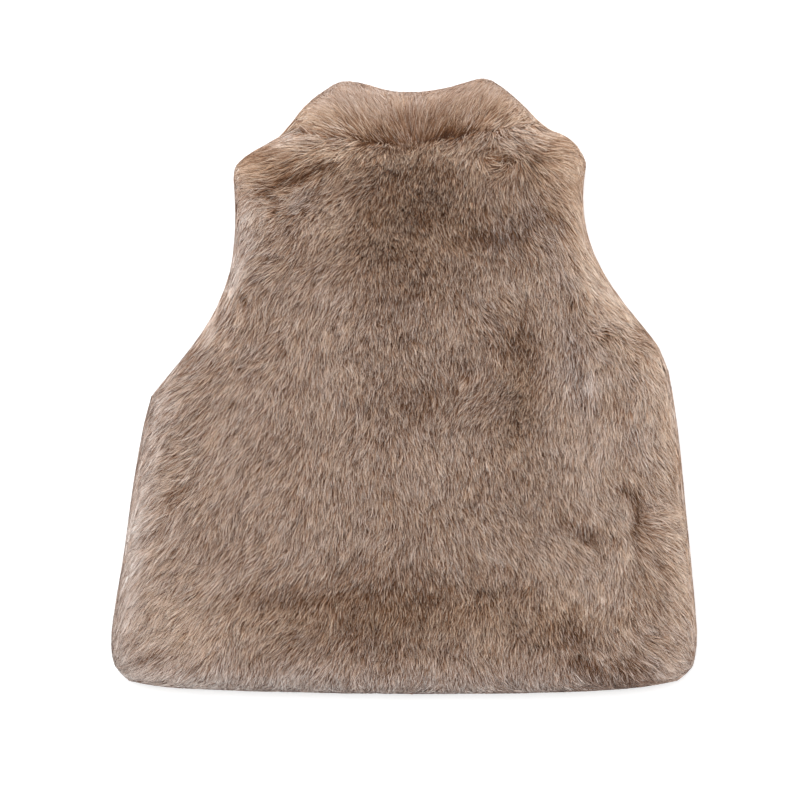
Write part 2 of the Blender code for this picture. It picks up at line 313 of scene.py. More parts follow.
def curlField(x, y, curls):
    total = np.zeros((len(x), 2))
    for curlX, curlY, reach, strength in curls:
        placeX, placeY = fromPhoto(curlX, curlY)
        awayX = (x - placeX) / photo["metresPerPixel"] / reach
        awayY = (y - placeY) / photo["metresPerPixel"] / reach
        total += (strength * np.exp(-(awayX**2 + awayY**2)))[:, None] * np.stack([-awayY, awayX], axis=-1)
    return total


# How the margin along the outline differs: paler and greyer on the left, tan on the right, and darker and
# greyer along the hem, where it is painted shade. Where its lift of tone is above nought, it is painted
# light along the rim
marginLightAndTan = [  # photo x, photo y, lift of tone, shift towards tan
    (238, 180, 0.22, 0.0), (236, 240, 0.06, -0.3), (216, 305, 0.24, -0.1), (180, 350, 0.04, -0.1),
    (150, 430, -0.04, -0.3), (130, 520, 0.0, -0.4), (118, 610, -0.12, -0.34), (130, 680, 0.16, -0.4),
    (250, 690, 0.08, -0.5), (400, 692, -0.06, -0.45), (550, 690, -0.14, -0.45), (620, 688, -0.14, -0.3),
    (680, 670, 0.12, -0.1), (690, 600, 0.22, 0.15), (684, 520, 0.28, 0.15), (675, 400, 0.4, 0.15),
    (640, 330, 0.3, 0.2), (592, 245, 0.5, 0.2), (585, 165, 0.26, 0.2), (300, 118, 0.16, -0.4),
    (345, 82, 0.1, -0.25), (410, 93, 0.16, -0.2), (480, 80, 0.1, -0.2), (530, 110, 0.3, -0.2),
]


def marginField(x, y):
    placeX, placeY, lift, tan = np.array(marginLightAndTan, float).T
    placeX, placeY = fromPhoto(placeX, placeY)
    weight = 1 / ((x[:, None] - placeX) ** 2 + (y[:, None] - placeY) ** 2 + edgePile["blend"] ** 2) ** 2
    weight /= weight.sum(axis=1, keepdims=True)
    return weight @ lift, weight @ tan


def storeField(data, name, kind, values):
    attribute = data.attributes.new(name, kind, "POINT")
    key = "vector" if kind == "FLOAT_VECTOR" else "value"
    attribute.data.foreach_set(key, np.asarray(values, np.float32).ravel())


def ruffleField(x, y, seed):
    dice = np.random.default_rng(seed)
    total = np.zeros(len(x))
    for _ in range(ruffle["waves"]):
        way = dice.uniform(0, 2 * pi)
        number = 2 * pi / (ruffle["wave"] * dice.uniform(*ruffle["stretch"]))
        start = dice.uniform(0, 2 * pi)
        total += np.sin(number * (x * cos(way) + y * sin(way)) + start)
    return total / ruffle["spread"]


# Painted shade along the crease where the collar stands off the back
neckCreaseShade = [  # photo points along it, half width, shift of tone
    ([(316, 135), (335, 139), (350, 142)], 4, -0.12), ([(356, 143), (367, 146)], 5, -0.5),
    ([(368, 146), (400, 147), (430, 142), (455, 139), (472, 134)], 5, -0.3),
    ([(446, 140), (468, 136)], 6, -0.4),
]


# The ground the pile is planted in: a finer skin that carries the fields
def makeGround(node, piece):
    ground, points, normals, depth = makeSkin(node + "Ground", node, piece, skinFinish["rootCuts"])
    x, y = points[:, 0], points[:, 1]
    along, flat = combField(x, y, piece["comb"])
    turn = np.radians(ruffle["turn"]) * ruffleField(x, y, ruffle["seed"])
    along = np.stack([along[:, 0] * np.cos(turn) - along[:, 1] * np.sin(turn),
                      along[:, 0] * np.sin(turn) + along[:, 1] * np.cos(turn)], axis=-1)
    along += curlField(x, y, piece["curls"])
    tangent = np.concatenate([along, np.zeros((len(x), 1))], axis=1)
    tangent -= (tangent * normals).sum(axis=1, keepdims=True) * normals
    tangent /= np.maximum(np.linalg.norm(tangent, axis=1, keepdims=True), tiny)
    flat = np.clip(flat + ruffle["flat"] * ruffleField(x, y, ruffle["seed"] + 1), pileSize["leastFlat"], 1)
    neck = neckShare(node, points)
    gap = nearest(points[:, :2], openRim(node)[:, :2])
    margin = 1 / (1 + np.exp((gap - edgePile["reach"]) / edgePile["fade"]))
    silk = piece["silk"] + patchField(x, y, piece["silkPatches"]) + edgePile["silk"] * margin
    silk = np.clip(silk + piece["seamSilk"] * neck, 0, 1)
    reach = pileSize["uprightReach"] + (pileSize["flatReach"] - pileSize["uprightReach"]) * flat
    reach *= 1 + pileSize["silkReach"] * silk
    lift, marginTan = marginField(x, y)
    # painted shade along the neck crease and the back's creases, and pale locks painted lighter; the pile is
    # also lower where they are dark
    crease = creaseField(x, y, neckCreaseShade) + pileSize["creaseTone"] * creaseField(x, y, piece["creases"])
    tone = piece["tone"] + patchField(x, y, piece["tones"]) + crease
    # painted light along the rim where the margin lifts the tone, painted shade where it lowers it, and
    # painted light that lifts the valley along the neck seam
    tone += lift * margin + seamPile["tone"] * neck
    tone += ruffle["tone"] * ruffleField(x, y, ruffle["seed"] + 2)
    warm = piece["warm"] + patchField(x, y, piece["warmth"]) + marginTan * margin
    rise = depth * (pileSize["uprightRise"] + (pileSize["flatRise"] - pileSize["uprightRise"]) * flat)
    rise *= 1 + pileSize["creaseRise"] * np.clip(crease, -pileSize["creaseLimit"], pileSize["creaseLimit"])
    pits = [patch for patch in piece["tones"]
            if patch[4] < pitSize["tone"] and max(patch[2:4]) < pitSize["reach"]]
    storeField(ground.data, "combWay", "FLOAT_VECTOR", tangent)
    storeField(ground.data, "standing", "FLOAT_VECTOR", normals)
    values = {"reach": reach, "rise": rise, "margin": margin, "tone": np.clip(tone, 0, 1),
              "warm": np.clip(warm, 0, 1), "silk": silk, "pit": -patchField(x, y, pits)}
    for name, value in values.items():
        storeField(ground.data, name, "FLOAT", value)
    return ground


# Tufts and wisps: small bunches of strands that the pile repeats

tuft = {   # bent strands
    "variants": 8, "strands": 7, "stations": (0.0, 0.55, 1.0), "widths": (0.8, 1.0, 0.0),
    "width": 0.0006, "rootSpread": 0.0014, "fan": 11.0, "sway": 0.0012, "roll": 50.0,
    "lengths": (0.62, 1.0), "shade": 0.3, "seed": 11,
}
wisp = {   # the straight ends of finer strands
    "variants": 8, "strands": 12, "stations": (0.3, 1.0), "widths": (1.0, 0.0),
    "width": 0.00072, "rootSpread": 0.0022, "fan": 10.0, "sway": 0.0012, "roll": 50.0,
    "lengths": (0.62, 1.0), "shade": 0.7, "seed": 12,
}
bunchSize = 0.010   # bunches are made this long and high, and scaled where they are planted
strandBend = {"forward": 1.4, "lift": 0.5}   # how a strand leans out, and how short ones stand


def makeBunch(name, bunch, dice):
    points, faces = [], []
    along, across, shade = [], [], []
    for _ in range(bunch["strands"]):
        root = dice.normal(0, bunch["rootSpread"], 2)
        yaw = radians(dice.normal(0, bunch["fan"]))
        length = dice.uniform(*bunch["lengths"])
        sway = dice.normal(0, bunch["sway"])
        roll = radians(dice.uniform(-bunch["roll"], bunch["roll"]))
        ownShade = dice.normal(0, bunch["shade"])
        first = len(points)
        for station, width in zip(bunch["stations"], bunch["widths"]):
            forward = bunchSize * length * station ** strandBend["forward"]
            lift = bunchSize * length ** strandBend["lift"] * (1 - (1 - station) ** 2)
            side = sway * station**2
            centre = np.array([root[0] + side * cos(yaw) - forward * sin(yaw),
                               root[1] + side * sin(yaw) + forward * cos(yaw), lift])
            half = bunch["width"] / 2 * width
            reachAcross = np.array([cos(yaw) * cos(roll), sin(yaw) * cos(roll), sin(roll)]) * half
            for sign in (-1, 1) if width else (0,):
                points.append(centre + sign * reachAcross)
                along.append(station)
                across.append(sign)
                shade.append(ownShade)
        last = len(points) - 1
        for low in range(first, last - 2, 2):
            faces.append((low, low + 1, low + 3, low + 2))
        faces.append((last - 2, last - 1, last))
    data = bpy.data.meshes.new(name)
    data.from_pydata([tuple(point) for point in points], [], faces)
    storeField(data, "along", "FLOAT", along)
    storeField(data, "across", "FLOAT", across)
    storeField(data, "shade", "FLOAT", shade)
    return bpy.data.objects.new(name, data)


def makeBunches(name, bunch):
    box = bpy.data.collections.new(name)
    dice = np.random.default_rng(bunch["seed"])
    for variant in range(bunch["variants"]):
        box.objects.link(makeBunch(f"{name}{variant}", bunch, dice))
    return box


bunches = {"tuft": makeBunches("tuft", tuft), "wisp": makeBunches("wisp", wisp)}
print("bunches made")


# Pile: bunches planted on a skin by Geometry Nodes

def addNode(tree, kind, settings=None, inputs=None):
    node = tree.nodes.new(kind)
    for name, value in (settings or {}).items():
        setattr(node, name, value)
    for key, value in (inputs or {}).items():
        if isinstance(value, bpy.types.NodeSocket):
            tree.links.new(value, node.inputs[key])
        else:
            node.inputs[key].default_value = value
    return node


def field(tree, name, kind="FLOAT"):
    node = addNode(tree, "GeometryNodeInputNamedAttribute", {"data_type": kind}, {"Name": name})
    return node.outputs["Attribute"]


def calculate(tree, operation, first, second, third=0.0):
    node = addNode(tree, "ShaderNodeMath", {"operation": operation}, {0: first, 1: second, 2: third})
    return node.outputs[0]


def vectors(tree, operation, first, second=(0.0, 0.0, 0.0)):
    return addNode(tree, "ShaderNodeVectorMath", {"operation": operation}, {0: first, 1: second}).outputs[0]


def axes(tree, vector):
    return addNode(tree, "ShaderNodeSeparateXYZ", None, {0: vector}).outputs


def joined(tree, x=0.0, y=0.0, z=0.0):
    return addNode(tree, "ShaderNodeCombineXYZ", None, {"X": x, "Y": y, "Z": z}).outputs[0]


def between(tree, low, high, share):
    return addNode(tree, "ShaderNodeMix", {"data_type": "FLOAT"}, {0: share, 2: low, 3: high}).outputs[0]


def within(tree, value, low, high):
    return addNode(tree, "ShaderNodeClamp", None, {0: value, 1: low, 2: high}).outputs[0]


def chance(tree, spread, seed):   # an even chance from minus to plus the spread
    less = calculate(tree, "MULTIPLY", spread, -1.0)
    node = addNode(tree, "FunctionNodeRandomValue", {"data_type": "FLOAT"},
                   {2: less, 3: spread, "Seed": seed})
    return node.outputs[1]


def store(tree, geometry, name, kind, domain, value):
    node = addNode(tree, "GeometryNodeStoreNamedAttribute", {"data_type": kind, "domain": domain},
                   {"Geometry": geometry, "Name": name, "Value": value})
    return node.outputs["Geometry"]


# roots are darker than tips, less so where the pile is silky; each strand also has painted light along one
# side and painted shade along the other
strandTone = {
    "root": 0.02, "follows": 0.15, "silkRoot": 0.05, "silkFollows": 0.6, "bend": 1.2, "side": 0.03,
    "sideTan": 0.005, "tipTan": 0.01, "mapEdge": 0.01,
}
silkEffect = {"shade": 0.72, "swing": 0.5}
seeds = {"swing": 3, "length": 4, "kind": 5, "tone": 6, "tan": 7, "press": 8}

pileInputs = {"Geometry": "Geometry", "Bunches": "Collection", "Form": "Object", "Seed": "Int",
              "Material": "Material"}
pileInputs.update(dict.fromkeys(
    ("Density", "Edge Only", "Length", "Width", "Swing", "Tone Shift", "Tone Scatter", "Side Shade",
     "Top Room", "Lowest", "Highest", "Parting"), "Float"))


# Three uneven fields around nought, which bunches near each other share
def lockFields(tree):
    place = addNode(tree, "GeometryNodeInputPosition").outputs[0]
    noise = addNode(tree, "ShaderNodeTexNoise", None,
                    {"Vector": place, "Scale": locks["perMetre"], "Detail": 1.0})
    return axes(tree, vectors(tree, "SUBTRACT", noise.outputs["Color"], (0.5, 0.5, 0.5)))


# A bunch stands on its skin, turned to the comb and swung a little aside
def plantBunches(tree, given):
    density = calculate(tree, "MULTIPLY", given["Density"],
                        between(tree, 1.0, field(tree, "margin"), given["Edge Only"]))
    plant = addNode(tree, "GeometryNodeDistributePointsOnFaces", {"distribute_method": "RANDOM"},
                    {"Mesh": given["Geometry"], "Density": density, "Seed": given["Seed"]})
    upright = addNode(tree, "FunctionNodeAlignRotationToVector", {"axis": "Z", "pivot_axis": "AUTO"},
                      {"Vector": field(tree, "standing", "FLOAT_VECTOR")}).outputs["Rotation"]
    combWay = field(tree, "combWay", "FLOAT_VECTOR")
    turned = addNode(tree, "FunctionNodeAlignRotationToVector", {"axis": "Y", "pivot_axis": "Z"},
                     {"Rotation": upright, "Vector": combWay}).outputs["Rotation"]
    calm = between(tree, 1.0, 1 - silkEffect["swing"], field(tree, "silk"))
    lock = lockFields(tree)
    ownSwing = chance(tree, calculate(tree, "MULTIPLY", given["Swing"], calm), seeds["swing"])
    lockSwing = calculate(tree, "MULTIPLY", calculate(tree, "MULTIPLY", lock["X"], locks["turn"]), calm)
    swing = joined(tree, z=calculate(tree, "ADD", ownSwing, lockSwing))
    swung = addNode(tree, "FunctionNodeRotateRotation", {"rotation_space": "LOCAL"},
                    {"Rotation": turned, "Rotate By": swing}).outputs["Rotation"]
    ownLength = chance(tree, pileSize["lengthScatter"], seeds["length"])
    size = calculate(tree, "MULTIPLY", given["Length"],
                     calculate(tree, "ADD", pileSize["meanLength"], ownLength))
    forward = calculate(tree, "MULTIPLY", field(tree, "reach"), size)
    higher = calculate(tree, "MULTIPLY_ADD", lock["Y"], locks["rise"], 1.0)
    lift = calculate(tree, "MULTIPLY", calculate(tree, "MULTIPLY", field(tree, "rise"), size), higher)
    scale = joined(tree, given["Width"], calculate(tree, "DIVIDE", forward, bunchSize),
                   calculate(tree, "DIVIDE", lift, bunchSize))
    kinds = addNode(tree, "GeometryNodeCollectionInfo", {"transform_space": "ORIGINAL"},
                    {"Collection": given["Bunches"], "Separate Children": True, "Reset Children": True})
    pick = addNode(tree, "FunctionNodeRandomValue", {"data_type": "INT"},
                   {4: 0, 5: tuft["variants"] - 1, "Seed": seeds["kind"]})
    planted = addNode(tree, "GeometryNodeInstanceOnPoints", None, {
        "Points": plant.outputs["Points"], "Instance": kinds.outputs["Instances"], "Pick Instance": True,
        "Instance Index": pick.outputs[2], "Rotation": swung, "Scale": scale}).outputs["Instances"]
    scatter = calculate(tree, "ADD", given["Tone Shift"], chance(tree, given["Tone Scatter"], seeds["tone"]))
    lockTone = calculate(tree, "MULTIPLY", calculate(tree, "MULTIPLY", lock["Y"], locks["tone"]), calm)
    ownTone = calculate(tree, "ADD", scatter, lockTone)
    toned = store(tree, planted, "bunchTone", "FLOAT", "INSTANCE", ownTone)
    ownTan = chance(tree, locks["ownTan"], seeds["tan"])
    lockTan = calculate(tree, "MULTIPLY_ADD", lock["Z"], locks["tan"], ownTan)
    warmed = store(tree, toned, "bunchTan", "FLOAT", "INSTANCE", lockTan)
    return addNode(tree, "GeometryNodeRealizeInstances", None, {"Geometry": warmed}).outputs["Geometry"]


# A strand that would leave the solid is pressed onto it, with a little room on top, and stays off the floor
def pressToForm(tree, given, strands):
    place = addNode(tree, "GeometryNodeInputPosition").outputs[0]
    solid = addNode(tree, "GeometryNodeObjectInfo", {"transform_space": "ORIGINAL"},
                    {"Object": given["Form"]}).outputs["Geometry"]
    near = addNode(tree, "GeometryNodeProximity", {"target_element": "FACES"}, {0: solid}).outputs
    normal = addNode(tree, "GeometryNodeInputNormal").outputs[0]
    facing = addNode(tree, "GeometryNodeSampleNearestSurface", {"data_type": "FLOAT_VECTOR"},
                     {"Mesh": solid, "Value": normal}).outputs["Value"]
    up = axes(tree, facing)["Z"]
    level = calculate(tree, "SUBTRACT", calculate(tree, "MULTIPLY", up, 2.0), 1.0)
    room = calculate(tree, "MULTIPLY", given["Top Room"], within(tree, level, 0.0, 1.0))
    share = calculate(tree, "DIVIDE", room, calculate(tree, "MAXIMUM", near["Distance"], tiny))
    rise = axes(tree, vectors(tree, "SUBTRACT", place, near["Position"]))["Z"]
    kept = joined(tree, z=calculate(tree, "MULTIPLY", rise, within(tree, share, 0.0, 1.0)))
    # pressed strands lie at uneven depths, so that none share a plane
    half = pileSize["pressDepth"] / 2
    depth = calculate(tree, "SUBTRACT", chance(tree, half, seeds["press"]), half)
    inward = addNode(tree, "ShaderNodeVectorMath", {"operation": "SCALE"},
                     {0: vectors(tree, "NORMALIZE", facing), "Scale": depth}).outputs[0]
    pressed = vectors(tree, "ADD", vectors(tree, "ADD", near["Position"], kept), inward)
    # a place inside has the top of the garment over it
    above = addNode(tree, "GeometryNodeRaycast", None, {
        "Target Geometry": solid, "Source Position": place, "Ray Direction": (0, 0, 1),
        "Ray Length": 1.0}).outputs
    topFacing = axes(tree, above["Hit Normal"])["Z"]
    inside = calculate(tree, "MULTIPLY", above["Is Hit"], calculate(tree, "GREATER_THAN", topFacing, 0.0))
    settled = axes(tree, addNode(tree, "GeometryNodeSwitch", {"input_type": "VECTOR"},
                                 {"Switch": inside, "False": pressed, "True": place}).outputs[0])
    high = within(tree, settled["Z"], given["Lowest"], given["Highest"])
    turned = calculate(tree, "SUBTRACT", 1.0, within(tree, up, 0.0, 1.0))
    marked = store(tree, strands, "sideways", "FLOAT", "POINT", turned)
    moved = addNode(tree, "GeometryNodeSetPosition", None, {
        "Geometry": marked, "Position": joined(tree, settled["X"], settled["Y"], high)})
    return moved.outputs["Geometry"]


# A field of the ground, read under each point of a strand
def below(tree, given, name):
    node = addNode(tree, "GeometryNodeSampleNearestSurface", {"data_type": "FLOAT"},
                   {"Mesh": given["Geometry"], "Value": field(tree, name)})
    return node.outputs["Value"]


# A strand that was pressed onto two faces at once is left out: it is too wide for its length.
# So is one that lies over a pit, where the pile parts
def dropStrands(tree, given, strands):
    ends = addNode(tree, "GeometryNodeInputMeshEdgeVertices").outputs
    apart = addNode(tree, "ShaderNodeVectorMath", {"operation": "DISTANCE"},
                    {0: ends["Position 1"], 1: ends["Position 2"]}).outputs["Value"]
    side = addNode(tree, "GeometryNodeFieldOnDomain", {"data_type": "FLOAT", "domain": "EDGE"},
                   {0: apart}).outputs[0]
    area = addNode(tree, "GeometryNodeInputMeshFaceArea").outputs[0]
    # area over mean side is 3/4 of the width of a long triangle, and twice that of a long four-sided face
    corners = addNode(tree, "GeometryNodeInputMeshFaceNeighbors").outputs["Vertex Count"]
    ofThree, ofFour = 4 / 3, 1 / 2
    share = calculate(tree, "MULTIPLY_ADD", corners, ofFour - ofThree, ofThree - 3 * (ofFour - ofThree))
    width = calculate(tree, "MULTIPLY", calculate(tree, "DIVIDE", area, side), share)
    torn = calculate(tree, "GREATER_THAN", width, pileSize["tornWidth"])
    pit = calculate(tree, "MULTIPLY", below(tree, given, "pit"), given["Parting"])
    parted = calculate(tree, "GREATER_THAN", pit, pitSize["edge"])
    kept = addNode(tree, "GeometryNodeDeleteGeometry", {"domain": "FACE", "mode": "ALL"},
                   {"Geometry": strands, "Selection": calculate(tree, "MAXIMUM", torn, parted)})
    return kept.outputs["Geometry"]


# Where each strand lies on the colour map
def mapStrands(tree, given, strands):
    silk, sideways, margin = field(tree, "silk"), field(tree, "sideways"), field(tree, "margin")
    along, across = field(tree, "along"), field(tree, "across")
    calm = between(tree, 1.0, 1 - silkEffect["shade"], silk)
    tone = calculate(tree, "MULTIPLY_ADD", field(tree, "shade"), calm, field(tree, "bunchTone"))
    tone = calculate(tree, "ADD", tone, below(tree, given, "tone"))
    follows = between(tree, strandTone["follows"], strandTone["silkFollows"], silk)
    lowest = between(tree, strandTone["root"], strandTone["silkRoot"], silk)
    rootTone = calculate(tree, "MULTIPLY_ADD", tone, follows, lowest)
    tone = between(tree, rootTone, tone, calculate(tree, "POWER", along, strandTone["bend"]))
    # painted light along one side of each strand and painted shade along the other
    tone = calculate(tree, "MULTIPLY_ADD", across, strandTone["side"], tone)
    # painted shade near the outline, on strands that turn down the sides and along the slit between the
    # layers
    high = axes(tree, addNode(tree, "GeometryNodeInputPosition").outputs[0])["Z"]
    fromSlit = calculate(tree, "DIVIDE", calculate(tree, "SUBTRACT", high, layerLevel), layerLine["reach"])
    slit = calculate(tree, "DIVIDE", layerLine["shade"],
                     calculate(tree, "MULTIPLY_ADD", fromSlit, fromSlit, 1.0))
    shade = calculate(tree, "MULTIPLY_ADD", sideways, given["Side Shade"], slit)
    tone = calculate(tree, "SUBTRACT", tone, calculate(tree, "MULTIPLY", shade, margin))
    tan = calculate(tree, "ADD", field(tree, "bunchTan"), below(tree, given, "warm"))
    # painted shade as a greyer hue on strands that turn down the sides near the outline
    sideMargin = calculate(tree, "MULTIPLY", sideways, margin)
    tan = calculate(tree, "SUBTRACT", tan, calculate(tree, "MULTIPLY", sideMargin, edgePile["grey"]))
    tan = calculate(tree, "MULTIPLY_ADD", across, strandTone["sideTan"], tan)
    tan = calculate(tree, "MULTIPLY_ADD", along, strandTone["tipTan"], tan)
    least, most = strandTone["mapEdge"], 1 - strandTone["mapEdge"]
    place = joined(tree, within(tree, tone, least, most), within(tree, tan, least, most))
    return store(tree, strands, "OFBake", "FLOAT2", "CORNER", place)


def makePileTree():
    tree = bpy.data.node_groups.new("pile", "GeometryNodeTree")
    for name, kind in pileInputs.items():
        tree.interface.new_socket(name, in_out="INPUT", socket_type="NodeSocket" + kind)
    tree.interface.new_socket("Geometry", in_out="OUTPUT", socket_type="NodeSocketGeometry")
    given = addNode(tree, "NodeGroupInput").outputs
    pressed = dropStrands(tree, given, pressToForm(tree, given, plantBunches(tree, given)))
    tinted = addNode(tree, "GeometryNodeSetMaterial", None,
                     {"Geometry": mapStrands(tree, given, pressed), "Material": given["Material"]})
    addNode(tree, "NodeGroupOutput", None, {"Geometry": tinted.outputs["Geometry"]})
    return tree


pileTree = makePileTree()
pileKeys = {item.name: item.identifier for item in pileTree.interface.items_tree if item.in_out == "INPUT"}
spareFields = ("combWay", "standing", "reach", "rise", "margin", "tone", "warm", "silk", "pit", "bunchTone",
               "bunchTan", "sideways", "along", "across", "shade")


def dropFields(data):
    for name in [attribute.name for attribute in data.attributes if attribute.name in spareFields]:
        data.attributes.remove(data.attributes[name])


def growPile(name, ground, finish, piece, settings):
    modifier = ground.modifiers.new("pile", "NODES")
    modifier.node_group = pileTree
    values = {
        "Bunches": bunches[settings["bunch"]], "Form": form, "Density": float(settings["perSquareMetre"]),
        "Edge Only": settings.get("edgeOnly", 0.0), "Parting": settings.get("parting", 0.0),
        "Seed": settings["seed"], "Length": settings["length"], "Width": settings["width"],
        "Swing": radians(settings["swing"]), "Tone Shift": settings["toneShift"],
        "Tone Scatter": settings["toneScatter"], "Top Room": pileSize["topRoom"],
        "Side Shade": piece["sideShade"], "Lowest": piece["lowest"], "Highest": piece["highest"],
        "Material": finish,
    }
    for key, value in values.items():
        modifier[pileKeys[key]] = value
    graph = bpy.context.evaluated_depsgraph_get()
    data = bpy.data.meshes.new_from_object(ground.evaluated_get(graph))
    ground.modifiers.remove(modifier)
    data.name = name
    dropFields(data)
    pile = bpy.data.objects.new(name, data)
    bpy.context.scene.collection.objects.link(pile)
    print(name, "has", sum(len(face.vertices) - 2 for face in data.polygons), "triangles")
    return pile


# Materials

def ramp(tree, stops):
    node = tree.nodes.new("ShaderNodeValToRGB")
    elements = node.color_ramp.elements
    while len(elements) < len(stops):
        elements.new(0.5)
    for element, (place, colour) in zip(elements, stops):
        element.position = place
        element.color = srgb(*colour)
    return node


# strands from dark root to pale tip; the same stops give the painted shade and light of the tone fields
greyStops = [(0.0, (66, 48, 38)), (0.25, (120, 101, 91)), (0.5, (176, 159, 150)), (0.75, (217, 206, 199)),
             (1.0, (248, 243, 239))]
taupeStops = [(0.0, (79, 46, 24)), (0.25, (133, 94, 67)), (0.5, (184, 154, 134)), (0.75, (222, 201, 188)),
              (1.0, (250, 241, 234))]
tanStops = [(0.0, (82, 46, 20)), (0.25, (137, 93, 59)), (0.5, (191, 155, 126)), (0.75, (228, 199, 172)),
            (1.0, (250, 232, 212))]


# The colour map runs from root to tip across, dark roots and painted shade at one end, pale tips and painted
# light at the other, and from grey over taupe to tan upwards
def makeStrandColour():
    group = bpy.data.node_groups.new("strandColour", "ShaderNodeTree")
    group.interface.new_socket("Tan Shift", in_out="INPUT", socket_type="NodeSocketFloat")
    group.interface.new_socket("Colour", in_out="OUTPUT", socket_type="NodeSocketColor")
    given = group.nodes.new("NodeGroupInput").outputs
    mapped = addNode(group, "ShaderNodeUVMap", {"uv_map": "OFBake"})
    tone, tan, _ = axes(group, mapped.outputs["UV"])
    shades = [ramp(group, stops) for stops in (greyStops, taupeStops, tanStops)]
    for shade in shades:
        group.links.new(tone, shade.inputs["Fac"])
    warm = calculate(group, "MULTIPLY", calculate(group, "ADD", tan, given["Tan Shift"]), 2.0)
    blend = shades[0].outputs["Color"]
    for step, shade in enumerate(shades[1:]):
        share = within(group, calculate(group, "SUBTRACT", warm, float(step)), 0.0, 1.0)
        blend = addNode(group, "ShaderNodeMix", {"data_type": "RGBA"},
                        {0: share, 6: blend, 7: shade.outputs["Color"]}).outputs[2]
    addNode(group, "NodeGroupOutput", None, {"Colour": blend})
    return group


strandColour = makeStrandColour()


def furMaterial(name, settings):
    finish = bpy.data.materials.new(name)
    finish.use_nodes = True
    tree = finish.node_tree
    shader = tree.nodes["Principled BSDF"]
    hair = addNode(tree, "ShaderNodeGroup", {"node_tree": strandColour},
                   {"Tan Shift": settings["tanShift"]})
    tree.links.new(hair.outputs["Colour"], shader.inputs["Base Color"])
    shader.inputs["Roughness"].default_value = settings["roughness"]
    shader.inputs["Specular IOR Level"].default_value = settings["gloss"]
    shader.inputs["Sheen Weight"].default_value = settings["sheen"]
    shader.inputs["Sheen Roughness"].default_value = settings["sheenRoughness"]
    return finish


def underfurMaterial(name, settings):
    finish = bpy.data.materials.new(name)
    finish.use_nodes = True
    tree = finish.node_tree
    shader = tree.nodes["Principled BSDF"]
    place = addNode(tree, "ShaderNodeTexCoord")
    stretch = addNode(tree, "ShaderNodeMapping", None,
                      {"Vector": place.outputs["Object"], "Scale": settings["grain"]})
    clumps = addNode(tree, "ShaderNodeTexNoise", None,
                     {"Vector": stretch.outputs["Vector"], "Scale": 1.0, "Detail": settings["detail"]})
    colour = ramp(tree, [(settings["darkPlace"], settings["dark"]),
                         (settings["lightPlace"], settings["light"])])
    tree.links.new(clumps.outputs["Fac"], colour.inputs["Fac"])
    tree.links.new(colour.outputs["Color"], shader.inputs["Base Color"])
    bump = addNode(tree, "ShaderNodeBump", None,
                   {"Strength": settings["bump"], "Distance": settings["bumpHeight"],
                    "Height": clumps.outputs["Fac"]})
    tree.links.new(bump.outputs["Normal"], shader.inputs["Normal"])
    shader.inputs["Roughness"].default_value = settings["roughness"]
    return finish


furLook = {"tanShift": 0.0, "roughness": 0.6, "gloss": 0.3, "sheen": 0.15, "sheenRoughness": 0.5}
underLook = {
    "grain": (900, 350, 900), "detail": 3.0, "dark": (104, 66, 42), "darkPlace": 0.3, "light": (140, 98, 70),
    "lightPlace": 0.7, "bump": 0.6, "bumpHeight": 0.001, "roughness": 0.95,
}
underfur = underfurMaterial("underfur", underLook)
pileFinish = {slot: furMaterial(slot, furLook) for slot in ("back_fur", "front_fur", "collar_fur")}
print("finishes made")


# Each piece: a skin, its pile, and what it stands for

def dress(name, node, slot, piece):
    ground = makeGround(node, piece)
    piles = [growPile(pile, ground, pileFinish[slot], piece, layer)
             for pile, layer in piece["layers"].items()]
    bpy.data.objects.remove(ground)
    skin = makeSkin(name, node, piece, skinFinish["cuts"])[0]
    thick = skin.modifiers.new("thickness", "SOLIDIFY")
    thick.thickness = skinFinish["thickness"]
    thick.offset = -1
    skin.data.materials.append(underfur)
    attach(skin, "root")
    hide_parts(node)
    for pile in piles:
        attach(pile, "root")


floorRoom = 0.0004   # strands stay this far off the floor

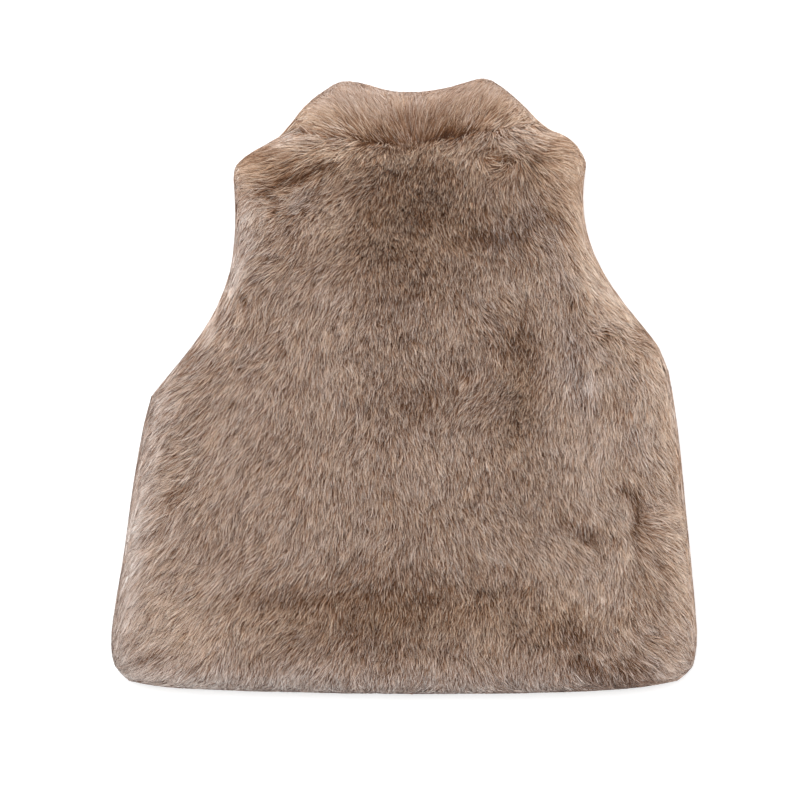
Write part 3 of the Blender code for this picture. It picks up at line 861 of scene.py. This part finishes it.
# How the pile of the back is combed. Angles: 0 points right, 90 to the collar, 270 to the hem
backComb = [  # photo x, photo y, angle of the tips, how flat they lie
    (258, 150, 165, 0.8), (285, 160, 185, 0.75), (315, 146, 172, 0.85), (320, 165, 195, 0.7),
    (350, 172, 235, 0.5), (400, 180, 270, 0.35), (450, 172, 262, 0.45), (478, 160, 215, 0.6),
    (505, 165, 300, 0.6), (540, 150, 25, 0.7), (572, 152, 5, 0.8), (565, 178, 340, 0.8),
    (530, 185, 300, 0.7), (250, 200, 205, 0.7), (290, 205, 228, 0.6), (330, 215, 250, 0.4),
    (390, 215, 270, 0.2), (450, 215, 275, 0.25), (500, 215, 285, 0.5), (545, 220, 290, 0.7),
    (577, 215, 312, 0.8), (160, 384, 165, 0.9), (240, 262, 248, 0.8), (280, 255, 222, 0.8),
    (330, 255, 225, 0.7), (385, 260, 262, 0.3), (440, 260, 280, 0.4), (485, 262, 288, 0.6),
    (525, 268, 265, 0.7), (560, 262, 290, 0.7), (592, 272, 345, 0.8), (212, 325, 228, 0.85),
    (262, 315, 254, 0.8), (325, 315, 260, 0.7), (385, 320, 268, 0.5), (440, 315, 280, 0.6),
    (500, 300, 300, 0.6), (527, 340, 268, 0.3), (562, 318, 255, 0.7), (602, 325, 320, 0.5),
    (632, 318, 330, 0.8), (185, 375, 226, 0.85), (160, 405, 222, 0.9), (230, 380, 240, 0.8),
    (300, 385, 258, 0.75), (375, 375, 270, 0.4), (430, 380, 285, 0.6), (482, 405, 215, 0.6),
    (523, 410, 270, 0.25), (565, 380, 258, 0.7), (615, 385, 270, 0.75), (645, 352, 300, 0.7),
    (662, 400, 285, 0.85), (148, 450, 226, 0.9), (182, 492, 218, 0.8), (225, 480, 243, 0.8),
    (284, 490, 250, 0.75), (345, 480, 268, 0.7), (400, 462, 276, 0.7), (450, 470, 285, 0.7),
    (523, 470, 280, 0.35), (565, 445, 262, 0.7), (615, 440, 272, 0.75), (632, 482, 300, 0.7),
    (668, 470, 292, 0.85), (140, 535, 206, 0.85), (165, 560, 232, 0.85), (225, 550, 245, 0.8),
    (300, 550, 252, 0.75), (370, 540, 265, 0.7), (430, 540, 278, 0.7), (480, 515, 300, 0.6),
    (525, 510, 296, 0.6), (565, 525, 305, 0.5), (608, 540, 290, 0.6), (636, 518, 315, 0.4),
    (666, 522, 345, 0.85), (675, 560, 322, 0.85), (130, 590, 238, 0.85), (140, 650, 208, 0.85),
    (180, 620, 232, 0.8), (240, 645, 246, 0.75), (265, 604, 226, 0.6), (305, 598, 228, 0.5),
    (370, 620, 262, 0.4), (440, 610, 268, 0.4), (500, 612, 272, 0.4), (565, 622, 275, 0.35),
    (605, 578, 258, 0.6), (645, 590, 304, 0.8), (666, 635, 315, 0.85), (676, 668, 320, 0.85),
    (160, 676, 250, 0.85), (285, 684, 267, 0.8), (400, 676, 266, 0.8), (502, 668, 278, 0.8),
    (600, 672, 300, 0.7),
]

# Where it is darker or lighter than the rest: partly the fur's own tone, partly painted shade where the hair
# stands up or parts and painted light where it lies flat
backToneLightAndShade = [  # photo x, photo y, reach across, reach down, shift of tone
    (410, 225, 75, 50, -0.24), (430, 200, 35, 25, -0.1), (380, 186, 22, 12, -0.22),
    (340, 180, 16, 10, 0.26), (264, 158, 28, 12, -0.5), (300, 174, 36, 9, -0.12), (315, 146, 24, 6, 0.3),
    (352, 151, 16, 7, 0.4), (405, 152, 20, 9, -0.06), (452, 154, 17, 9, 0.5), (472, 163, 16, 9, 0.54),
    (506, 140, 30, 8, 0.46), (514, 158, 14, 11, -0.44), (528, 168, 16, 9, -0.36),
    (555, 145, 20, 9, -0.44), (572, 194, 18, 20, -0.26), (540, 226, 26, 14, -0.2),
    (494, 243, 38, 10, -0.4), (515, 222, 24, 20, -0.1), (267, 196, 7, 8, -0.42), (279, 211, 6, 9, -0.6),
    (262, 222, 16, 26, 0.3), (290, 204, 18, 12, 0.3), (328, 222, 24, 16, 0.46), (298, 238, 18, 8, 0.2),
    (385, 243, 24, 10, 0.26), (270, 268, 30, 8, -0.14), (475, 190, 14, 12, 0.14),
    (498, 286, 32, 14, 0.28), (522, 262, 12, 22, -0.2), (566, 240, 14, 22, -0.34),
    (572, 292, 24, 10, 0.3), (571, 305, 6, 7, -0.4), (415, 292, 34, 24, -0.14), (338, 304, 18, 18, 0.24),
    (275, 325, 55, 42, 0.12), (228, 333, 12, 12, -0.32), (326, 336, 10, 12, -0.16),
    (520, 341, 18, 24, -0.66), (552, 318, 14, 12, -0.1), (602, 335, 7, 8, -0.5), (642, 339, 13, 10, -0.7),
    (642, 357, 6, 6, -0.3), (606, 372, 18, 14, 0.36), (643, 412, 9, 28, 0.64), (627, 411, 8, 6, -0.3),
    (634, 430, 7, 8, -0.34), (610, 470, 55, 160, 0.24), (628, 395, 22, 26, 0.26),
    (585, 320, 40, 80, 0.08), (555, 365, 10, 14, 0.16), (538, 392, 10, 14, -0.2),
    (508, 395, 10, 22, 0.16), (400, 412, 50, 14, -0.18), (446, 396, 20, 16, -0.48),
    (412, 365, 16, 24, -0.08), (450, 345, 20, 14, 0.18), (350, 377, 20, 13, 0.34),
    (270, 382, 24, 26, 0.12), (198, 366, 15, 10, -0.4), (200, 386, 26, 8, 0.16), (192, 456, 16, 12, 0.28),
    (205, 470, 55, 90, 0.1), (312, 430, 16, 30, 0.14), (381, 444, 12, 9, 0.24), (320, 472, 22, 14, 0.12),
    (472, 448, 24, 15, 0.4), (412, 455, 14, 16, -0.14), (400, 495, 70, 40, 0.05),
    (582, 452, 20, 22, 0.24), (597, 497, 15, 11, 0.34), (620, 490, 9, 8, -0.3), (476, 513, 9, 9, -0.28),
    (470, 538, 12, 10, 0.16), (225, 492, 12, 14, 0.14), (264, 512, 18, 20, 0.2),
    (172, 508, 22, 10, -0.16), (195, 518, 20, 12, -0.12), (583, 532, 12, 8, -0.34),
    (550, 562, 20, 24, 0.22), (592, 588, 30, 20, 0.28), (310, 555, 18, 22, 0.2),
    (385, 575, 50, 24, -0.22), (340, 600, 110, 18, -0.2), (395, 614, 70, 13, -0.24),
    (245, 588, 14, 8, -0.2), (434, 592, 24, 14, -0.36), (515, 590, 14, 12, -0.14),
    (370, 640, 70, 14, -0.2), (405, 650, 14, 12, -0.1), (448, 674, 14, 10, -0.18),
    (555, 634, 32, 16, -0.36), (215, 590, 36, 24, 0.22), (176, 632, 40, 34, 0.44),
    (240, 645, 50, 24, 0.08), (490, 645, 34, 20, 0.26), (618, 682, 40, 9, -0.3), (280, 674, 22, 10, 0.12),
    (227, 684, 6, 9, -0.24), (674, 640, 16, 14, 0.14), (640, 575, 20, 14, 0.08), (127, 541, 12, 14, 0.34),
    (677, 478, 10, 24, -0.34), (420, 180, 46, 12, -0.18), (290, 190, 16, 8, -0.26),
    (415, 305, 40, 26, -0.1), (165, 567, 24, 18, 0.12), (350, 640, 30, 16, -0.12),
    (440, 608, 24, 16, -0.14), (622, 460, 12, 26, -0.2), (230, 205, 30, 24, -0.12),
]

# Creases in its lie, with painted shade along them, and pale locks painted lighter
backCreaseShadeAndPaleLocks = [  # photo points along it, half width, shift of tone
    ([(275, 240), (290, 224), (302, 210), (318, 198), (345, 188)], 8, -0.14),
    ([(278, 183), (300, 179), (318, 172), (332, 168)], 5, -0.3), ([(258, 188), (268, 197)], 5, -0.2),
    ([(335, 150), (300, 149), (262, 154)], 8, 0.04), ([(400, 160), (365, 156), (340, 162)], 7, 0.12),
    ([(475, 155), (490, 148)], 5, -0.3), ([(497, 157), (512, 160)], 4, -0.3),
    ([(512, 152), (521, 160), (522, 169), (513, 172)], 3, 0.4), ([(540, 160), (585, 159)], 4, -0.14),
    ([(598, 330), (606, 325), (614, 329)], 3, 0.3), ([(634, 362), (631, 382), (622, 400)], 4, -0.3),
    ([(641, 365), (645, 390), (650, 420), (655, 450)], 7, 0.18),
    ([(655, 378), (663, 405), (672, 440)], 4, -0.16), ([(566, 330), (574, 360), (582, 395)], 7, -0.12),
    ([(592, 300), (596, 350), (592, 390)], 6, 0.14), ([(612, 385), (617, 412)], 4, -0.22),
    ([(600, 400), (598, 412)], 5, -0.25), ([(585, 440), (588, 462)], 4, -0.2),
    ([(634, 495), (637, 510), (635, 530)], 6, -0.5), ([(625, 522), (624, 542), (622, 562)], 6, 0.14),
    ([(643, 515), (662, 522), (678, 540)], 5, 0.14), ([(645, 535), (662, 537), (675, 545)], 4, -0.16),
    ([(640, 545), (655, 560), (672, 578)], 5, -0.18), ([(560, 520), (576, 530), (600, 546)], 6, -0.26),
    ([(648, 590), (660, 607)], 6, -0.14), ([(568, 612), (578, 632), (592, 650)], 7, -0.24),
    ([(586, 640), (600, 658), (607, 670)], 4, 0.25), ([(574, 661), (590, 668), (604, 668)], 7, -0.3),
    ([(614, 668), (632, 664), (650, 668)], 6, -0.22), ([(680, 640), (690, 655)], 4, -0.12),
    ([(170, 500), (182, 495), (196, 485)], 4, -0.3), ([(135, 530), (160, 517), (188, 505)], 9, 0.14),
    ([(130, 543), (146, 539), (166, 535)], 3, -0.28), ([(134, 664), (150, 656), (166, 649)], 5, -0.2),
    ([(140, 645), (160, 640)], 5, 0.1),
    ([(176, 400), (162, 450), (150, 500), (138, 560), (132, 620)], 9, 0.1),
    ([(215, 608), (250, 600), (300, 600)], 8, -0.1),
]

# Small whorls that the comb makes
backCurls = [  # photo x, photo y, reach, strength against the clock
    (508, 164, 14, -2.0), (604, 332, 11, -1.6), (267, 204, 13, 1.6), (583, 532, 13, 1.4),
    (641, 346, 11, -1.4), (636, 516, 15, 1.4), (484, 154, 10, 1.4), (180, 494, 12, 1.0),
]

# Where it is tan or grey rather than taupe; the grey streak along the crease to the right of the middle is
# painted shade
backWarmth = [  # photo x, photo y, reach across, reach down, shift towards tan
    (265, 160, 50, 30, 0.35), (560, 160, 45, 40, 0.3), (400, 160, 100, 22, 0.25),
    (410, 225, 75, 50, 0.35), (410, 615, 190, 26, 0.3), (520, 390, 20, 65, 0.25),
    (300, 205, 18, 18, -0.14), (530, 222, 16, 14, -0.25), (500, 240, 20, 14, -0.3),
    (572, 360, 12, 40, -0.25), (585, 390, 12, 25, -0.25), (630, 440, 12, 20, -0.2),
]

# Where it lies smooth and silky: photo x, photo y, reach across, reach down, how much
backSilk = [(265, 155, 60, 30, 0.8), (560, 160, 40, 40, 0.7), (140, 510, 40, 130, 0.5)]

backPiece = {
    "depthAbove": 0.011, "depthBelow": 0.011, "lowest": 0.006, "highest": 1.0,
    "flat": (0.399, 0.384), "area": 0.125,
    "comb": backComb, "tones": backToneLightAndShade, "creases": backCreaseShadeAndPaleLocks, "curls": backCurls, "warmth": backWarmth,
    "silkPatches": backSilk, "tone": 0.68, "warm": 0.7, "silk": 0.0, "sideShade": 0.13, "seamSilk": 0.0,
    "layers": {
        "backPileUnder": {
            "bunch": "tuft", "perSquareMetre": 68000, "length": 0.8, "width": 1.3, "swing": 30,
            "toneShift": -0.12, "toneScatter": 0.1, "seed": 21},
        "backPileMiddle": {
            "bunch": "tuft", "perSquareMetre": 68000, "length": 0.95, "width": 1.0, "swing": 18,
            "toneShift": 0.0, "toneScatter": 0.1, "seed": 22},
        "backPileUpper": {
            "bunch": "wisp", "perSquareMetre": 120000, "length": 1.08, "width": 0.88, "swing": 15,
            "toneShift": 0.02, "toneScatter": 0.1, "parting": 1.0, "seed": 23},
        "backPileGuard": {
            "bunch": "wisp", "perSquareMetre": 120000, "length": 1.3, "width": 0.66, "swing": 12,
            "toneShift": 0.08, "toneScatter": 0.1, "parting": 1.0, "seed": 24},
    },
}

# The collar is brushed up and out. Its lists have the columns of those of the back
collarComb = [
    (300, 122, 196, 0.9), (322, 128, 178, 0.85), (312, 108, 165, 0.85), (328, 98, 130, 0.8),
    (348, 98, 108, 0.8), (375, 110, 98, 0.8), (405, 112, 88, 0.8), (440, 110, 75, 0.8),
    (470, 100, 62, 0.8), (500, 105, 40, 0.85), (522, 118, 20, 0.85), (340, 132, 150, 0.7),
    (370, 140, 120, 0.6), (400, 142, 90, 0.55), (440, 138, 68, 0.55), (480, 126, 48, 0.7),
]
# darker and lighter patches of the collar, partly painted shade towards its foot by the neck crease
collarToneAndShade = [
    (345, 106, 30, 12, 0.06), (308, 122, 14, 12, 0.26), (450, 134, 18, 9, -0.14),
    (400, 138, 34, 9, -0.24), (346, 121, 12, 8, -0.22), (350, 132, 18, 5, 0.2), (408, 122, 26, 12, -0.42),
    (440, 118, 18, 9, -0.24), (534, 120, 14, 14, 0.34), (486, 117, 14, 11, -0.14), (488, 90, 14, 8, 0.06),
    (500, 132, 16, 6, 0.3), (375, 90, 20, 5, 0.24), (456, 100, 16, 12, -0.1), (465, 116, 8, 6, -0.14),
]

collarPiece = {
    "depthAbove": 0.0095, "depthBelow": 0.0055, "lowest": floorRoom, "highest": 1.0,
    "flat": (0.352, 0.046), "area": 0.0115,
    "comb": collarComb, "tones": collarToneAndShade, "creases": [], "curls": [], "warmth": [], "silkPatches": [],
    "tone": 0.55, "warm": 0.9, "silk": 1.0, "sideShade": 0.05, "seamSilk": -0.8,
    "layers": {
        "collarPile": {
            "bunch": "tuft", "perSquareMetre": 130000, "length": 0.95, "width": 1.0, "swing": 16,
            "toneShift": -0.05, "toneScatter": 0.08, "seed": 41},
        "collarPileGuard": {
            "bunch": "wisp", "perSquareMetre": 300000, "length": 1.12, "width": 0.8, "swing": 13,
            "toneShift": 0.03, "toneScatter": 0.06, "seed": 42},
    },
}

# The fronts are pressed flat underneath
frontComb = [(404, 386, 270, 0.9), (150, 500, 255, 0.9), (660, 500, 285, 0.9)]
frontPiece = {
    "depthAbove": 0.0065, "depthBelow": 0.0065, "lowest": floorRoom, "highest": seamLow,
    "comb": frontComb, "tones": [], "creases": [], "curls": [], "warmth": [], "silkPatches": [],
    "tone": 0.5, "warm": 0.6, "silk": 0.2, "sideShade": 0.1, "seamSilk": 0.0,
    "pile": {"bunch": "tuft", "perSquareMetre": 26000, "length": 1.0, "width": 1.4, "swing": 18,
             "toneShift": 0.0, "toneScatter": 0.12, "seed": 31},
    "edge": {"bunch": "wisp", "perSquareMetre": 150000, "length": 1.0, "width": 1.3, "swing": 30,
             "toneShift": 0.0, "toneScatter": 0.12, "edgeOnly": 1.0, "seed": 32},
}
fronts = {
    "front_left": {"skin": "frontLeftUnderfur", "pile": "frontLeftPile", "edge": "frontLeftEdge",
                   "flat": (0.208, 0.383), "area": 0.0625},
    "front_right": {"skin": "frontRightUnderfur", "pile": "frontRightPile", "edge": "frontRightEdge",
                    "flat": (0.193, 0.384), "area": 0.0625},
}


# Floor, light and camera

studio = {
    "floorSize": 4.0, "floorColour": (0.9, 0.9, 0.9, 1.0), "floorRoughness": 0.9, "floorGlow": 0.3,
    "skyStrength": 0.9, "keySize": 1.6, "keyPower": 22.0, "keyPlace": (-0.25, 0.7, 1.7),
    "cameraHeight": 2.2, "outlineHeight": 0.012, "sensorWidth": 36,
}


def makeStudio():
    bpy.ops.mesh.primitive_plane_add(size=studio["floorSize"], location=(0, 0, 0))
    floor = bpy.context.object
    floor.name = "floor"
    finish = bpy.data.materials.new("paleFloor")
    finish.use_nodes = True
    shader = finish.node_tree.nodes["Principled BSDF"]
    shader.inputs["Base Color"].default_value = studio["floorColour"]
    shader.inputs["Roughness"].default_value = studio["floorRoughness"]
    shader.inputs["Emission Color"].default_value = (1, 1, 1, 1)
    shader.inputs["Emission Strength"].default_value = studio["floorGlow"]
    floor.data.materials.append(finish)
    world = bpy.data.worlds.new("studio")
    bpy.context.scene.world = world
    world.use_nodes = True
    sky = world.node_tree.nodes["Background"]
    sky.inputs["Color"].default_value = (1, 1, 1, 1)
    sky.inputs["Strength"].default_value = studio["skyStrength"]
    lamp = bpy.data.lights.new("softbox", "AREA")
    lamp.size = studio["keySize"]
    lamp.energy = studio["keyPower"]
    softbox = bpy.data.objects.new("softbox", lamp)
    softbox.location = studio["keyPlace"]
    aim = -softbox.location
    softbox.rotation_euler = aim.to_track_quat("-Z", "Y").to_euler()
    bpy.context.scene.collection.objects.link(softbox)
    lens = bpy.data.cameras.new("camera")
    away = studio["cameraHeight"] - studio["outlineHeight"]
    lens.sensor_width = studio["sensorWidth"]
    lens.lens = lens.sensor_width * away / (photo["pixels"] * photo["metresPerPixel"])
    camera = bpy.data.objects.new("camera", lens)
    x, y = fromPhoto(photo["pixels"] / 2, photo["pixels"] / 2)
    camera.location = (x, y, studio["cameraHeight"])
    bpy.context.scene.collection.objects.link(camera)
    bpy.context.scene.camera = camera
    bpy.context.scene.view_settings.view_transform = "Standard"


makeStudio()
print("studio set")
for node, own in fronts.items():
    layers = {own["pile"]: frontPiece["pile"], own["edge"]: frontPiece["edge"]}
    dress(own["skin"], node, "front_fur", {**frontPiece, **own, "layers": layers})
dress("backUnderfur", "back", "back_fur", backPiece)
dress("collarUnderfur", "collar", "collar_fur", collarPiece)

# what the pile was made from is not part of the garment
for box in bunches.values():
    for bunch in list(box.objects):
        bpy.data.objects.remove(bunch)
    bpy.data.collections.remove(box)
bpy.data.objects.remove(form)
